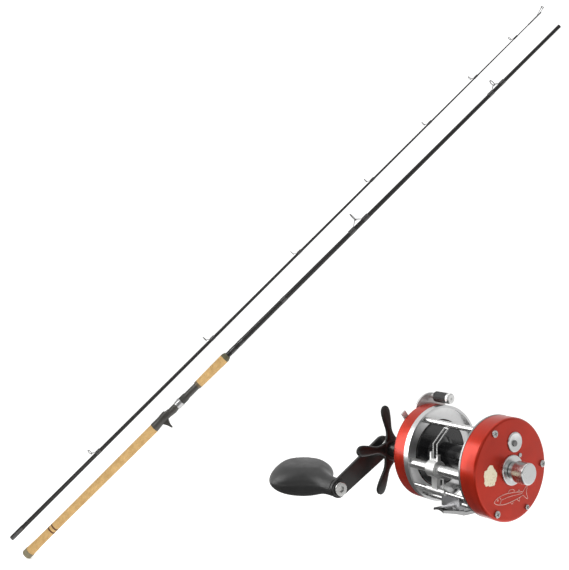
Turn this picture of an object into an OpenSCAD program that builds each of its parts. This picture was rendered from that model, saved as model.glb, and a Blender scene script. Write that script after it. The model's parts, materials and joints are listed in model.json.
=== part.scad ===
// Two-piece trigger-grip casting rod and a round multiplier reel, laid out as a set.
// The origin is on the butt section's axis in the middle of the rear grip, +Z up.
// The rod sections lean at about 45 degrees in the XZ plane with their guides up and to the left.
// The reel stands upright and level in front of them, on the -Y side.

/* [Rod blanks] */
// Length of the butt section
butt_len = 1728; // [1700:1:1800]
// Lean of the butt section above the horizontal, degrees
butt_tilt = 44.78; // [40:0.01:50]
// Radius of the butt blank at its lower end
butt_r_low = 8.1; // [7.8:0.1:8.3]
// Radius of the male ferrule at the butt section's top
ferrule_r = 4.3; // [4:0.1:4.4]
// Length of the male ferrule
ferrule_len = 80; // [60:1:100]
// Length of the tip blank, without its tip-top
tip_len = 1705; // [1700:1:1760]
// Lean of the tip section above the horizontal, degrees
tip_tilt = 44.83; // [40:0.01:50]
// Radius of the tip blank at its lower end
tip_r_low = 5.4; // [5.2:0.1:5.8]
// Radius of the tip blank at its top
tip_r_top = 1.15; // [1:0.05:1.3]
// Lower end of the tip section, to the left of the origin
tip_base_x = -185.5; // [-200:0.5:-160]
// Lower end of the tip section, below the origin
tip_base_z = -112.5; // [-140:0.5:-100]
// Wall thickness of both blanks
blank_wall = 1.2; // [1:0.1:1.4]

/* [Handle] */
// Distance of the origin from the butt end, the middle of the rear grip
grip_mid = 215; // [180:1:240]
// Length of the rubber butt cap
cap_len = 14; // [12:1:20]
// Where the rear cork grip ends and the reel seat starts
seat_start = 416; // [410:1:420]
// Where the reel seat ends and the fore grip starts
seat_end = 554; // [552:1:556]
// Where the fore cork grip ends
fore_end = 642; // [630:1:650]
// Radius of the rear grip at its slim waist
grip_r_waist = 10; // [9.5:0.1:10.4]
// Radius of the rear grip where it meets the reel seat
grip_r_seat = 11; // [10.6:0.1:11.2]
// Radius of the seat's threaded barrel
barrel_r = 8.3; // [8.1:0.1:8.4]
// Width of the polished hood band
hood_len = 15; // [13:1:16]
// Where the hood band starts when the seat is empty
hood_start = 489; // [488:1:490]
// Length of the knurled hood nut
nut_len = 16; // [14:1:17]

/* [Reel] */
// Place of the reel's spool axis centre: right, back and up
reel_pos = [579.8, -1212.1, 339.2]; // [-1300:0.1:700]
// Turn of the reel about the vertical, degrees
reel_yaw = -56.5; // [-70:0.5:-40]
// Outer radius of both side covers
plate_r = 37; // [36.8:0.1:37.2]
// Half the gap between the frame's rims
gap_half = 26; // [25.5:0.1:26]
// Depth of the red palm cover
palm_depth = 14; // [13.5:0.5:14]
// Depth of the red gear cover
gear_depth = 12.3; // [12:0.1:12.5]
// Radius of the spool's flanges
flange_r = 25.4; // [24.5:0.1:25.6]
// Radius of the spool's arbor
arbor_r = 9; // [8:0.5:10]
// Radius of the level-wind tube
tube_r = 3.8; // [3.7:0.05:3.8]
// Radius of the cross pillars
pillar_r = 2.3; // [2:0.05:2.3]

/* [Handle of the reel] */
// Distance of the drive shaft in front of the spool axis
drive_f = 19; // [19:0.1:19.2]
// Distance of the drive shaft below the spool axis
drive_drop = 1.5; // [1:0.1:2]
// Radius of the star drag's arm tips
star_r = 37; // [34:0.5:38]
// Distance between the drive shaft and the knob
crank_len = 52.9; // [48:0.1:56]
// Angle of the crank below forward, degrees
crank_drop = 31.6; // [15:0.1:45]
// Length of the knob across its spindle
knob_len = 58; // [50:1:60]
// Thickness of the knob
knob_thick = 30; // [26:1:31]

/* [Gears] */
// Teeth on the main drive gear
gear_teeth = 57; // [57:1:57]
// Teeth on the spool pinion
pinion_teeth = 14; // [14:1:14]
// Teeth on the level-wind drive gear
cog_teeth = 34; // [34:1:34]
// Teeth on the worm's gear
worm_teeth = 12; // [12:1:12]

/* [Hidden] */
$fn = 64;

// Gap between fixed pieces that fit together, and radial clearance of turning fits
fit = 0.03;
run = 0.05;

// Guides: distance up the blank, radius of the ring's centre line, wire radius and leg height
butt_rings = [[1081, 10.1, 1.0, 5.5], [1526, 7.5, 0.85, 3]];
tip_rings = [[267, 6.2, 0.8, 2.2], [638, 5.6, 0.75, 2.2], [920, 5.1, 0.7, 2.1], [1157, 4.8, 0.65, 2],
    [1343, 4.5, 0.6, 2], [1493, 4.3, 0.6, 1.8], [1622, 4.1, 0.55, 1.6]];

// Reel stations along the spool axis, +X towards the palm side
rim_w = 4.7;
disc_t = 1.5;
gear_seam = -gap_half - rim_w;
gear_face = gear_seam - gear_depth;
palm_seam = gap_half + 1;
palm_face = palm_seam + palm_depth;
cover_wall = 1.6;
post_ring_r = 32.7;
post_angles = [33, 152, -89, -151];
tube_pos = [0, -31.3, -3.5];
rail_pos = [0, -29.8, -19.6];
drive_pos = [0, -drive_f, -drive_drop];
gear_m = 2 * norm(drive_pos) / (gear_teeth + pinion_teeth);
gear_angle = atan2(drive_drop, drive_f);
cog_gap = norm([tube_pos.y - drive_pos.y, tube_pos.z - drive_pos.z]);
cog_m = 2 * cog_gap / (cog_teeth + worm_teeth);
cog_angle = atan2(tube_pos.z - drive_pos.z, tube_pos.y - drive_pos.y);
shaft_r = 2;
drive_r = 3;
crank_x = -75;
crank_t = 3;
star_x = crank_x + 9.5;
knob_pos = drive_pos - crank_len * [0, cos(crank_drop), sin(crank_drop)];
knob_x = crank_x - 52;
carriage_x = -3;

function butt_r(s) = butt_r_low + (ferrule_r - butt_r_low) * s / (butt_len - ferrule_len);
function tip_r(s) = tip_r_low + (tip_r_top - tip_r_low) * s / tip_len;
// A point on a side cover: r from the spool axis, t from straight up towards the front
function cover_pt(r, t) = [0, -r * sin(t), r * cos(t)];

// Places a part drawn along +Z from the butt end, with the trigger towards +X
module on_butt() {
    rotate([0, 90 - butt_tilt, 0]) translate([0, 0, -grip_mid]) children();
}

module on_tip() {
    translate([tip_base_x, 0, tip_base_z]) rotate([0, 90 - tip_tilt, 0]) children();
}

module on_reel() {
    translate(reel_pos) rotate([0, 0, reel_yaw]) children();
}

// Round bar along X between two stations, at a point given in y and z
module bar_x(r, x0, x1, at = [0, 0, 0]) {
    translate([x0, at.y, at.z]) rotate([0, 90, 0]) cylinder(r = r, h = x1 - x0);
}

// Turns a profile of radius against length about the X axis, starting at x0
module turned_x(x0, at = [0, 0, 0]) {
    translate([x0, at.y, at.z]) rotate([0, 90, 0]) rotate_extrude() children();
}

// Straight round bar between two points
module bar(p, q, r) {
    d = q - p;
    translate(p) rotate([0, acos(d.z / norm(d)), atan2(d.y, d.x)]) cylinder(r = r, h = norm(d));
}

// Tapered tube around the Z axis between two stations
module cone_tube(s0, s1, r0, r1, bore0, bore1) {
    difference() {
        translate([0, 0, s0]) cylinder(r1 = r0, r2 = r1, h = s1 - s0);
        translate([0, 0, s0 - 0.01]) cylinder(r1 = bore0, r2 = bore1, h = s1 - s0 + 0.02);
    }
}

// Tube around the butt blank, with the blank's own taper inside
module over_butt(s0, s1, r0, r1) {
    cone_tube(s0, s1, r0, r1, butt_r(s0) + fit, butt_r(s1) + fit);
}

// Half profile of a disc with one rounded edge, radius along x and thickness along y
module soft_edge(r, h, c) {
    square([r - c, h]);
    square([r, h - c]);
    translate([r - c, h - c]) circle(c);
}

// Spur gear outline with straight-sided teeth, one tooth centred on phase
module gear_outline(teeth, m, phase) {
    pitch = 360 / teeth;
    r_tip = teeth * m / 2 + 0.85 * m;
    r_root = teeth * m / 2 - 1.2 * m;
    edges = [[-0.32, r_root], [-0.1, r_tip], [0.1, r_tip], [0.32, r_root]];
    polygon([for (i = [0:teeth - 1]) for (e = edges)
        let (a = phase + (i + e[0]) * pitch) [e[1] * cos(a), e[1] * sin(a)]]);
}

// Gear along X. Its outline's x runs along +Y and its y along +Z
module gear_x(teeth, m, phase, bore, x0, x1, at) {
    translate([x0, at.y, at.z]) rotate([90, 0, 90]) linear_extrude(x1 - x0) difference() {
        gear_outline(teeth, m, phase);
        circle(bore);
    }
}

// ---- Rod: handle ----

module butt_cap() {
    color("#55543f") on_butt() difference() {
        union() {
            translate([0, 0, 2.5]) cylinder(r = 12, h = cap_len - 2.5);
            cylinder(r1 = 9.5, r2 = 12, h = 2.5);
        }
        translate([0, 0, 4]) cylinder(r = butt_r(4) + fit, h = cap_len);
    }
}

module rear_grip() {
    color("#dfb475") on_butt() {
        over_butt(cap_len, 40, 11.4, 10.4);
        over_butt(40, 82, 10.4, grip_r_waist);
        over_butt(84, 92, grip_r_waist, grip_r_waist);
        over_butt(94, 150, grip_r_waist, grip_r_waist);
        over_butt(150, 300, grip_r_waist, 10.7);
        over_butt(300, seat_start, 10.7, grip_r_seat);
        over_butt(82, 84, 9.4, 9.4);
        over_butt(92, 94, 9.4, 9.4);
    }
}

module grip_rings() {
    color("#8a5a34") on_butt() for (s = [82, 92])
        cone_tube(s + fit, s + 2 - fit, 10.15, 10.15, 9.4 + fit, 9.4 + fit);
}

// Seat body: a full rear, a hump that holds the reel foot's rear end, and the trigger
module reel_seat() {
    rear = seat_start;
    color("#4a4b45") on_butt() difference() {
        union() {
            translate([0, 0, rear]) cylinder(r = barrel_r, h = seat_end - rear);
            hull() {
                translate([-0.6, 0, rear]) cylinder(r = 11.2, h = 4, $fn = 32);
                translate([-1.6, 0, rear + 20]) cylinder(r = 10, h = 1, $fn = 32);
            }
            hull() {
                translate([-1.6, 0, rear + 20]) cylinder(r = 10, h = 1, $fn = 32);
                translate([-4.4, 0, rear + 37]) cylinder(r = 8.6, h = 1, $fn = 32);
            }
            hull() {
                translate([-4.4, 0, rear + 37]) cylinder(r = 8.6, h = 1, $fn = 32);
                translate([-2.9, 0, rear + 50]) cylinder(r = 8.2, h = 1, $fn = 32);
            }
            hull() {
                translate([0.2, 0, rear + 46]) cylinder(r = 8.3, h = 1, $fn = 32);
                translate([1.6, 0, rear + 60]) cylinder(r = 8.6, h = 1, $fn = 32);
                translate([0, 0, rear + 71.5]) cylinder(r = 8.3, h = 1, $fn = 32);
            }
            hull() {
                translate([5, -4, rear + 20]) cube([2, 8, 18]);
                translate([17, -3, rear + 26]) cube([1, 6, 6.5]);
            }
            hull() {
                translate([17, -3, rear + 26]) cube([1, 6, 6.5]);
                translate([27, -2, rear + 30]) rotate([90, 0, 0]) translate([0, 0, -2])
                    cylinder(r = 1.5, h = 4, center = true, $fn = 24);
            }
        }
        translate([0, 0, rear - 1])
            cylinder(r1 = butt_r(rear - 1) + fit, r2 = butt_r(seat_end + 1) + fit, h = seat_end - rear + 2);
        // Pocket under the hump for the rear end of a reel foot
        translate([-17.3, -6, rear + 42]) cube([8, 12, 12]);
    }
}

module seat_hood() {
    color("#d8d8d8") on_butt() translate([0, 0, hood_start]) difference() {
        rotate_extrude() difference() {
            soft_edge(10.6, hood_len, 0.8);
            square([barrel_r + 0.08, hood_len + 1]);
        }
        // Mouth that takes the front end of a reel foot
        translate([-10.1, -5.5, -1]) cube([2.4, 11, 9]);
    }
}

module hood_nut() {
    knurls = 30;
    color("#3f403b") on_butt() translate([0, 0, hood_start + hood_len + 0.3]) difference() {
        union() {
            cylinder(r = 9.6, h = 11);
            translate([0, 0, 11]) cylinder(r1 = 9.6, r2 = 8.9, h = nut_len - 11);
        }
        translate([0, 0, -1]) cylinder(r = barrel_r + 0.08, h = nut_len + 2);
        for (i = [0:knurls - 1]) rotate([0, 0, i * 360 / knurls])
            translate([9.75, 0, 1]) cylinder(r = 0.45, h = 9.4, $fn = 16);
    }
}

module fore_trim() {
    color("#5f5238") on_butt() over_butt(seat_end, seat_end + 7, 9.8, 10);
}

module fore_grip() {
    color("#dfb475") on_butt() over_butt(seat_end + 7, fore_end, 10, 11.1);
}

module winding_check() {
    color("#5d5a3c") on_butt() {
        over_butt(fore_end, fore_end + 4, 11, 10.9);
        over_butt(fore_end + 4, fore_end + 11, 10.9, 8.2);
    }
}

module butt_blank() {
    top = butt_len - ferrule_len;
    color("#2b2c2a") on_butt() difference() {
        union() {
            translate([0, 0, 4.2]) cylinder(r1 = butt_r(4.2), r2 = ferrule_r, h = top - 4.2);
            translate([0, 0, top]) cylinder(r = ferrule_r, h = ferrule_len);
        }
        translate([0, 0, 4])
            cylinder(r1 = butt_r(4) - blank_wall, r2 = ferrule_r - blank_wall, h = top - 4);
    }
}

// ---- Rod: guides ----

// Height of a ring's centre above the blank's axis
function ring_rise(blank_r, ring_r, wire, legs) = blank_r + ring_r + wire + legs;

// Wire guide on a blank of radius br: the ring, its two braces and its foot under the wrap
module guide(br, ring_r, wire, legs, rear_foot) {
    rise = ring_rise(br, ring_r, wire, legs);
    foot_z = ring_r * 0.9 + 2;
    foot_len = 5 + ring_r;
    spread = 0.75 * ring_r;
    low = -rise + 0.62 * ring_r;
    translate([-rise, 0, 0]) rotate_extrude() translate([ring_r, 0]) circle(wire);
    for (y = [-1, 1]) bar([low, y * spread, 0], [-br - 0.5, y * 0.5, foot_z], wire * 0.7);
    translate([-br - 1, -1, foot_z - 0.6]) cube([0.8, 2, foot_len]);
    if (rear_foot) {
        for (y = [-1, 1]) bar([low, y * spread, 0], [-br - 0.5, y * 0.5, -foot_z - 3], wire * 0.6);
        translate([-br - 1, -1, -foot_z - 2.4 - foot_len]) cube([0.8, 2, foot_len]);
    }
}

// Thread wrap over a guide's foot: a sleeve with a small hump, open where the foot lies
module foot_wrap(br0, br1, br_foot, z0, z1, foot_z0, foot_z1) {
    difference() {
        union() {
            translate([0, 0, z0]) cylinder(r1 = br0 + 0.5, r2 = br1 + 0.5, h = z1 - z0);
            translate([-br_foot + 0.35, 0, z0 + 1]) cylinder(r = 1.75, h = z1 - z0 - 2, $fn = 32);
        }
        translate([0, 0, z0 - 1]) cylinder(r1 = br0 + fit, r2 = br1 + fit, h = z1 - z0 + 2);
        translate([-br_foot - 1 - fit, -1 - fit, foot_z0 - fit])
            cube([1.2, 2 + 2 * fit, foot_z1 - foot_z0 + 2 * fit]);
    }
}

module butt_guides() {
    color("#a9aaa8") on_butt() for (g = butt_rings)
        translate([0, 0, g[0]]) guide(butt_r(g[0]), g[1], g[2], g[3], true);
}

module butt_ring_inserts() {
    color("#4c4d4f") on_butt() for (g = butt_rings)
        translate([-ring_rise(butt_r(g[0]), g[1], g[2], g[3]), 0, g[0]])
            rotate_extrude() translate([g[1] - g[2] - 0.62, 0]) circle(0.6);
}

// Both wraps of a guide whose foot starts above or below the ring
module guide_wraps(s, br, ring_r, rear_foot, taper) {
    foot_z = ring_r * 0.9 + 2;
    foot_len = 5 + ring_r;
    z0 = foot_z + 1.4;
    z1 = foot_z + foot_len + 3;
    translate([0, 0, s]) {
        foot_wrap(br - taper * z0, br - taper * z1, br, z0, z1, foot_z - 0.6, foot_z + foot_len - 0.6);
        if (rear_foot) {
            foot_wrap(br + taper * (z1 + 3), br + taper * (z0 + 3), br, -z1 - 3, -z0 - 3,
                -foot_z - 2.4 - foot_len, -foot_z - 2.4);
        }
    }
}

module butt_wraps() {
    taper = (butt_r_low - ferrule_r) / (butt_len - ferrule_len);
    color("#1d1c1c") on_butt() {
        for (g = butt_rings) guide_wraps(g[0], butt_r(g[0]), g[1], true, taper);
        for (s = [664, 690, 828]) over_butt(s, s + 14, butt_r(s) + 0.5, butt_r(s + 14) + 0.5);
    }
}

module tip_blank() {
    socket = ferrule_len + 2;
    core_end = 1250;
    color("#2b2c2a") on_tip() difference() {
        cylinder(r1 = tip_r_low, r2 = tip_r_top, h = tip_len);
        translate([0, 0, -1]) cylinder(r = ferrule_r + 0.05, h = socket + 1);
        translate([0, 0, socket])
            cylinder(r1 = ferrule_r - 0.5, r2 = tip_r(core_end) - 0.9, h = core_end - socket);
    }
}

module tip_guides() {
    color("#a9aaa8") on_tip() for (g = tip_rings)
        translate([0, 0, g[0]]) guide(tip_r(g[0]), g[1], g[2], g[3], false);
}

module tip_ring_inserts() {
    color("#4c4d4f") on_tip() for (g = tip_rings)
        translate([-ring_rise(tip_r(g[0]), g[1], g[2], g[3]), 0, g[0]])
            rotate_extrude() translate([g[1] - g[2] - 0.42, 0]) circle(0.4);
}

module tip_wraps() {
    taper = (tip_r_low - tip_r_top) / tip_len;
    color("#1d1c1c") on_tip() {
        for (g = tip_rings) guide_wraps(g[0], tip_r(g[0]), g[1], false, taper);
        translate([0, 0, 2]) difference() {
            cylinder(r = tip_r_low + 0.5, h = 34);
            translate([0, 0, -1]) cylinder(r1 = tip_r(1) + fit, r2 = tip_r(37) + fit, h = 36);
        }
        translate([0, 0, tip_len - 30]) difference() {
            cylinder(r = tip_r_top + 0.5, h = 14);
            translate([0, 0, -1])
                cylinder(r1 = tip_r(tip_len - 31) + fit, r2 = tip_r(tip_len - 15) + fit, h = 16);
        }
    }
}

// Tube, offset ring and its two braces at the very tip
module tip_top() {
    ring_z = tip_len + 21.5;
    color("#b4b5b3") on_tip() {
        translate([0, 0, tip_len - 15]) difference() {
            union() {
                cylinder(r = 1.75, h = 24);
                translate([0, 0, 24]) cylinder(r1 = 1.75, r2 = 0.9, h = 3);
            }
            translate([0, 0, -1]) cylinder(r = tip_r(tip_len - 15) + fit, h = 16.1);
        }
        translate([-6, 0, ring_z]) rotate([0, -18, 0])
            rotate_extrude() translate([3.4, 0]) circle(0.75);
        for (y = [-1, 1]) {
            bar([-0.4, y * 0.5, tip_len + 8], [-3.4, y * 2.4, ring_z - 0.5], 0.5);
            bar([-0.9, y * 0.9, tip_len - 2], [-7.8, y * 3, ring_z], 0.45);
        }
    }
}

// ---- Reel: frame ----

module gear_frame() {
    color("#c9cacb") on_reel() difference() {
        union() {
            turned_x(gear_seam) difference() {
                square([plate_r, rim_w]);
                translate([0, disc_t]) square([plate_r - 1.8, rim_w]);
                square([flange_r + 0.6, rim_w]);
            }
        }
        for (t = post_angles) bar_x(1.6, gear_seam - 1, -gap_half, cover_pt(post_ring_r, t));
        bar_x(1.23, -28, -gap_half + 1, rail_pos);
        bar_x(3, gear_seam - 1, -gap_half, tube_pos);
    }
}

module palm_frame() {
    color("#c9cacb") on_reel() difference() {
        turned_x(gap_half - 0.5) difference() {
            square([plate_r + 0.2, disc_t]);
            square([flange_r + 0.6, disc_t]);
        }
        for (t = post_angles) bar_x(1.6, gap_half - 1, palm_seam + 1, cover_pt(post_ring_r, t));
        bar_x(1.23, gap_half - 1, palm_seam + 1, rail_pos);
        bar_x(3, gap_half - 1, palm_seam + 1, tube_pos);
    }
}

// Four cross pillars, tapped at both ends for the cover screws
module pillars() {
    x0 = gear_seam + disc_t;
    x1 = gap_half - 0.5;
    color("#dcdddd") on_reel() for (t = post_angles) difference() {
        bar_x(pillar_r, x0, x1, cover_pt(post_ring_r, t));
        bar_x(1.53, x0 - 1, x0 + 6, cover_pt(post_ring_r, t));
        bar_x(1.53, x1 - 6, x1 + 1, cover_pt(post_ring_r, t));
    }
}

module guide_rail() {
    color("#c9cacb") on_reel() bar_x(1.2, -27.9, 26.9, rail_pos);
}

// Level-wind tube, slotted at the back where the pawl reaches the worm
module level_wind_tube() {
    x0 = gear_seam + disc_t;
    x1 = gap_half - 0.5;
    color("#dcdddd") on_reel() difference() {
        bar_x(tube_r, x0, x1, tube_pos);
        bar_x(3.1, x0 - 1, x1 + 1, tube_pos);
        translate([-24, tube_pos.y, tube_pos.z - 1.5]) cube([46, 6, 3]);
    }
}

// Reel foot: an arched plate that sits in the rod's seat, tapering to both ends
module foot() {
    arch_z = -43.2;
    plan = [[-9, -12], [-9, 8], [-5, 33], [5, 33], [9, 8], [9, -12], [5, -31], [-5, -31]];
    color("#b9babb") on_reel() difference() {
        intersection() {
            translate([0, -32, arch_z]) rotate([-90, 0, 0]) difference() {
                cylinder(r = 11.8, h = 66);
                translate([0, 0, -1]) cylinder(r = 10, h = 68);
            }
            translate([0, 0, -38]) linear_extrude(8) polygon(plan);
        }
        for (x = [-4, 4]) for (t = [152, -151]) translate([x, cover_pt(post_ring_r, t).y, -40]) {
            cylinder(r = 1.33, h = 12);
            translate([0, 0, 2]) cylinder(r = 2.4, h = 4.3);
        }
    }
}

// Two cast blocks on the lower pillars, with rivet studs headed over under the foot
module foot_blocks() {
    color("#8f9092") on_reel() for (t = [152, -151]) {
        p = cover_pt(post_ring_r, t);
        difference() {
            translate([-9, p.y - 3.6, -33.4]) cube([18, 7.2, 8.3]);
            bar_x(pillar_r + fit, -12, 12, p);
            translate([0, -40, -43.2]) rotate([-90, 0, 0]) cylinder(r = 11.8 + fit, h = 80);
        }
        for (x = [-4, 4]) translate([x, p.y, -35.6]) {
            cylinder(r = 1.3, h = 4.2);
            cylinder(r1 = 1.7, r2 = 2.1, h = 0.8);
        }
    }
}

// ---- Reel: covers ----

// Red cup on the palm side, with a boss inside for the spool bearing
module palm_cover() {
    depth = palm_depth;
    color("#c8281c") on_reel() difference() {
        union() {
            turned_x(palm_seam) difference() {
                soft_edge(plate_r, depth, 1.8);
                square([plate_r - cover_wall, depth - cover_wall]);
            }
            bar_x(8, palm_seam + 5, palm_face - 1);
        }
        bar_x(5 + fit, palm_seam + 4, palm_seam + 9.5);
        bar_x(2.6, palm_seam + 4, palm_face + 1);
        bar_x(6.2, palm_face - 1, palm_face + 1);
        for (t = post_angles) bar_x(1.6, palm_seam - 1, palm_face + 1, cover_pt(post_ring_r, t));
        bar_x(5.6, palm_face - 2, palm_face + 1, cover_pt(19.7, -8));
        bar_x(1.1, palm_face - 2, palm_face + 1, cover_pt(12.8, -41));
    }
}

// Cover screws: four each side, and the collar's small locking screw
module cover_screws() {
    color("#cfd0d1") on_reel() {
        for (t = post_angles) {
            p = cover_pt(post_ring_r, t);
            head = t == -151 ? 1.9 : 2.6;
            difference() {
                union() {
                    bar_x(1.5, gap_half - 6, palm_face + 0.5, p);
                    turned_x(palm_face + fit, p) soft_edge(head, 1.2, 0.5);
                }
                cross_slot(palm_face + 0.5, p, head * 0.62);
            }
            difference() {
                union() {
                    bar_x(1.5, gear_face - 0.5, gear_seam + disc_t + 5, p);
                    bar_x(2.4, gear_face - 1.1, gear_face - fit, p);
                }
                translate([gear_face - 1.2, p.y - 0.35, p.z - 1.6]) cube([0.8, 0.7, 3.2]);
            }
        }
        lock = cover_pt(12.8, -41);
        bar_x(1, palm_face - 1.5, palm_face + fit, lock);
        turned_x(palm_face + fit, lock) soft_edge(1.6, 0.9, 0.4);
    }
}

// Cross recess cut into a screw head from x outwards
module cross_slot(x, p, reach) {
    for (a = [20, 110]) translate([x, p.y, p.z]) rotate([a, 0, 0])
        translate([0, -reach, -0.3]) cube([2, 2 * reach, 0.6]);
}

// Chrome flange around the tension cap, with its threaded neck
module centre_collar() {
    color("#dcdddd") on_reel() turned_x(palm_face - 0.95) difference() {
        union() {
            translate([0, 0.95 + fit]) soft_edge(10.8, 1.5, 0.7);
            square([6.1, 2.4]);
            square([5, 5.5]);
        }
        square([2.6, 9]);
    }
}

// Round dished port that the click button slides in
module click_dish() {
    p = cover_pt(19.7, -8);
    color("#dcdddd") on_reel() difference() {
        union() {
            bar_x(5.5, palm_face - 1.9, palm_face + fit, p);
            turned_x(palm_face + fit, p) soft_edge(7.3, 1.1, 0.5);
        }
        translate([palm_face + 5.4, p.y, p.z]) sphere(r = 7.6);
        translate([palm_face - 3, p.y - 1.1, p.z - 3]) cube([4, 2.2, 6]);
    }
}

// Red cup on the gear side, with bosses for the spool bearing and the drive shaft
module gear_cover() {
    depth = gear_depth;
    color("#c8281c") on_reel() difference() {
        union() {
            translate([gear_seam, 0, 0]) rotate([0, -90, 0]) rotate_extrude() difference() {
                soft_edge(plate_r, depth, 1.8);
                square([plate_r - cover_wall + 0.2, depth - cover_wall]);
            }
            bar_x(9, gear_face - 3.6, gear_face + 1);
            bar_x(10, gear_face - 4, gear_face + 1, drive_pos);
        }
        bar_x(5 + fit, gear_face - 2.6, gear_face + 2.5);
        bar_x(5 + fit, gear_face - 5, gear_face + 2.5, drive_pos);
        for (t = post_angles) bar_x(1.6, gear_face - 1, gear_seam + 1, cover_pt(post_ring_r, t));
    }
}

// Plate inside the gear cover that carries the inner ends of the shafts
module bridge_plate() {
    color("#b08d4a") on_reel() difference() {
        intersection() {
            bar_x(34.4, gear_seam - 1.2, gear_seam - 0.1);
            translate([gear_seam - 2, -33, -12]) cube([3, 45, 24]);
        }
        bar_x(7, gear_seam - 3, gear_seam + 1);
        bar_x(2.05, gear_seam - 3, gear_seam + 1, drive_pos);
        bar_x(3.1, gear_seam - 3, gear_seam + 1, tube_pos);
    }
    // Posts the clutch yoke slides on
    color("#b08d4a") on_reel() for (s = [-1, 1])
        bar_x(1, gear_face + cover_wall + 0.2, gear_seam - 0.5, [0, 8, s * 8]);
}

// Ball bearings that carry the spool shaft, one in each cover
module spool_bearings() {
    color("#b9babb") on_reel() for (x = [gear_face - 2.5, palm_seam + 5.5]) difference() {
        bar_x(5, x, x + 4);
        bar_x(shaft_r + run, x - 1, x + 5);
        turned_x(x - 0.01) translate([3.1, 0]) square([1, 0.5]);
    }
}

module drive_bushing() {
    color("#b5893c") on_reel() difference() {
        union() {
            bar_x(5, gear_face - 4, gear_face + 2.4, drive_pos);
            bar_x(6.4, gear_face - 5, gear_face - 4, drive_pos);
        }
        bar_x(drive_r + run, gear_face - 6, gear_face + 4, drive_pos);
    }
}

// ---- Reel: spool and its brakes ----

module spool() {
    x0 = gear_seam + 0.3;
    x1 = gap_half + 0.7;
    width = x1 - x0;
    rim = 1.7;
    color("#1b1b1c") on_reel() turned_x(x0) difference() {
        union() {
            square([arbor_r, width]);
            square([flange_r - 0.8, rim]);
            translate([flange_r - 0.85, 0.85]) circle(0.85);
            translate([0, width - rim]) square([flange_r - 0.8, rim]);
            translate([flange_r - 0.85, width - 0.85]) circle(0.85);
            polygon([[arbor_r - 1, 0], [arbor_r + 5, 0], [arbor_r + 5, rim], [arbor_r, rim + 4]]);
            polygon([[arbor_r, width - rim - 4], [arbor_r + 5, width - rim], [arbor_r - 1, width - rim]]);
        }
        square([shaft_r + fit, width]);
        translate([shaft_r + 2, -0.1]) square([3.4, 8]);
        translate([shaft_r + 2, width - 8]) square([3.4, 8.1]);
    }
}

module spool_shaft() {
    color("#c2c3c4") on_reel() {
        bar_x(shaft_r, gear_face - 2.4, palm_face + 5.5);
        // Cross pin that the pinion's slot drives
        translate([gear_seam - 0.2, 0, -3.4]) cylinder(r = 0.6, h = 6.8);
    }
}

// Centrifugal brake: a cross bar on the shaft with two sliding blocks
module brake_blocks() {
    x = palm_seam + 2.5;
    color("#9b3b2e") on_reel() for (s = [-1, 1]) difference() {
        translate([x - 1.5, -2, s > 0 ? 4 : -8]) cube([3, 4, 4]);
        translate([x, 0, -12]) cylinder(r = 0.75, h = 24);
    }
    color("#c2c3c4") on_reel() difference() {
        union() {
            bar_x(3.4, x - 1.8, x + 1.8);
            translate([x, 0, -9.4]) cylinder(r = 0.7, h = 18.8);
        }
        bar_x(shaft_r + fit, x - 3, x + 3);
    }
}

// ---- Reel: gear train ----

// Pinion: teeth, a groove for the yoke and a slot for the shaft's cross pin
module pinion() {
    color("#c79a45") on_reel() difference() {
        union() {
            gear_x(pinion_teeth, gear_m, gear_angle + 180 + 180 / pinion_teeth, shaft_r + run,
                gear_seam - 5.4, gear_seam - 0.7, [0, 0, 0]);
            bar_x(2.8, gear_seam - 6.8, gear_seam - 5.4);
            bar_x(4, gear_seam - 7.6, gear_seam - 6.8);
            bar_x(3.1, gear_seam - 0.7, gear_seam - 0.3);
        }
        bar_x(shaft_r + run, gear_seam - 9, gear_seam + 2);
        translate([gear_seam - 1.3, -0.8, -5]) cube([2, 1.6, 10]);
    }
}

// Fork that lifts the pinion off the spool, riding in the pinion's groove
module clutch_yoke() {
    x = gear_seam - 6.55;
    color("#a9aaa8") on_reel() difference() {
        union() {
            translate([x, -4.6, -11]) cube([0.9, 16, 22]);
        }
        bar_x(2.9, x - 1, x + 2);
        translate([x - 1, -6, -2.9]) cube([3, 6, 5.8]);
        for (s = [-1, 1]) bar_x(1.1, x - 1, x + 2, [0, 8, s * 8]);
    }
}

// Free-spool lever: a ring around the bearing boss, an arm and a curved finger plate
module clutch_lever() {
    x0 = gear_face - 2.9;
    lever_t = 1.9;
    color("#d4d5d5") on_reel() {
        difference() {
            union() {
                bar_x(12.5, x0, x0 + lever_t);
                translate([x0, -3.5, 8]) cube([lever_t, 8, 32]);
                difference() {
                    bar_x(17.3, x0, x0 + lever_t, [0, 4.2, 27.5]);
                    bar_x(15, x0 - 1, x0 + lever_t + 1, [0, 4.2, 20.5]);
                    translate([x0 - 1, -30, 0]) cube([lever_t + 2, 60, 26]);
                }
                rotate([38, 0, 0]) translate([x0, -2.2, 11.5]) cube([lever_t - 0.4, 4.4, 28.5]);
            }
            bar_x(9 + run, x0 - 1, x0 + lever_t + 1);
            // Open at the front so that the ring clears the drive boss as it turns
            for (a = [0:3:15]) rotate([a, 0, 0]) bar_x(10.4, x0 - 1, x0 + lever_t + 1, drive_pos);
        }
        bar_x(1.8, x0 + lever_t - 0.1, -22.6, [0, 5, 42.2]);
    }
}

module lever_roller() {
    knurls = 24;
    color("#3c3c3c") on_reel() difference() {
        bar_x(4.2, -38.5, -25.2, [0, 5, 42.2]);
        bar_x(1.8 + fit, -40, -20, [0, 5, 42.2]);
        for (i = [0:knurls - 1])
            bar_x(0.25, -37.6, -26.2, [0, 5 + 4.25 * sin(i * 15), 42.2 + 4.25 * cos(i * 15)]);
    }
}

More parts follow.
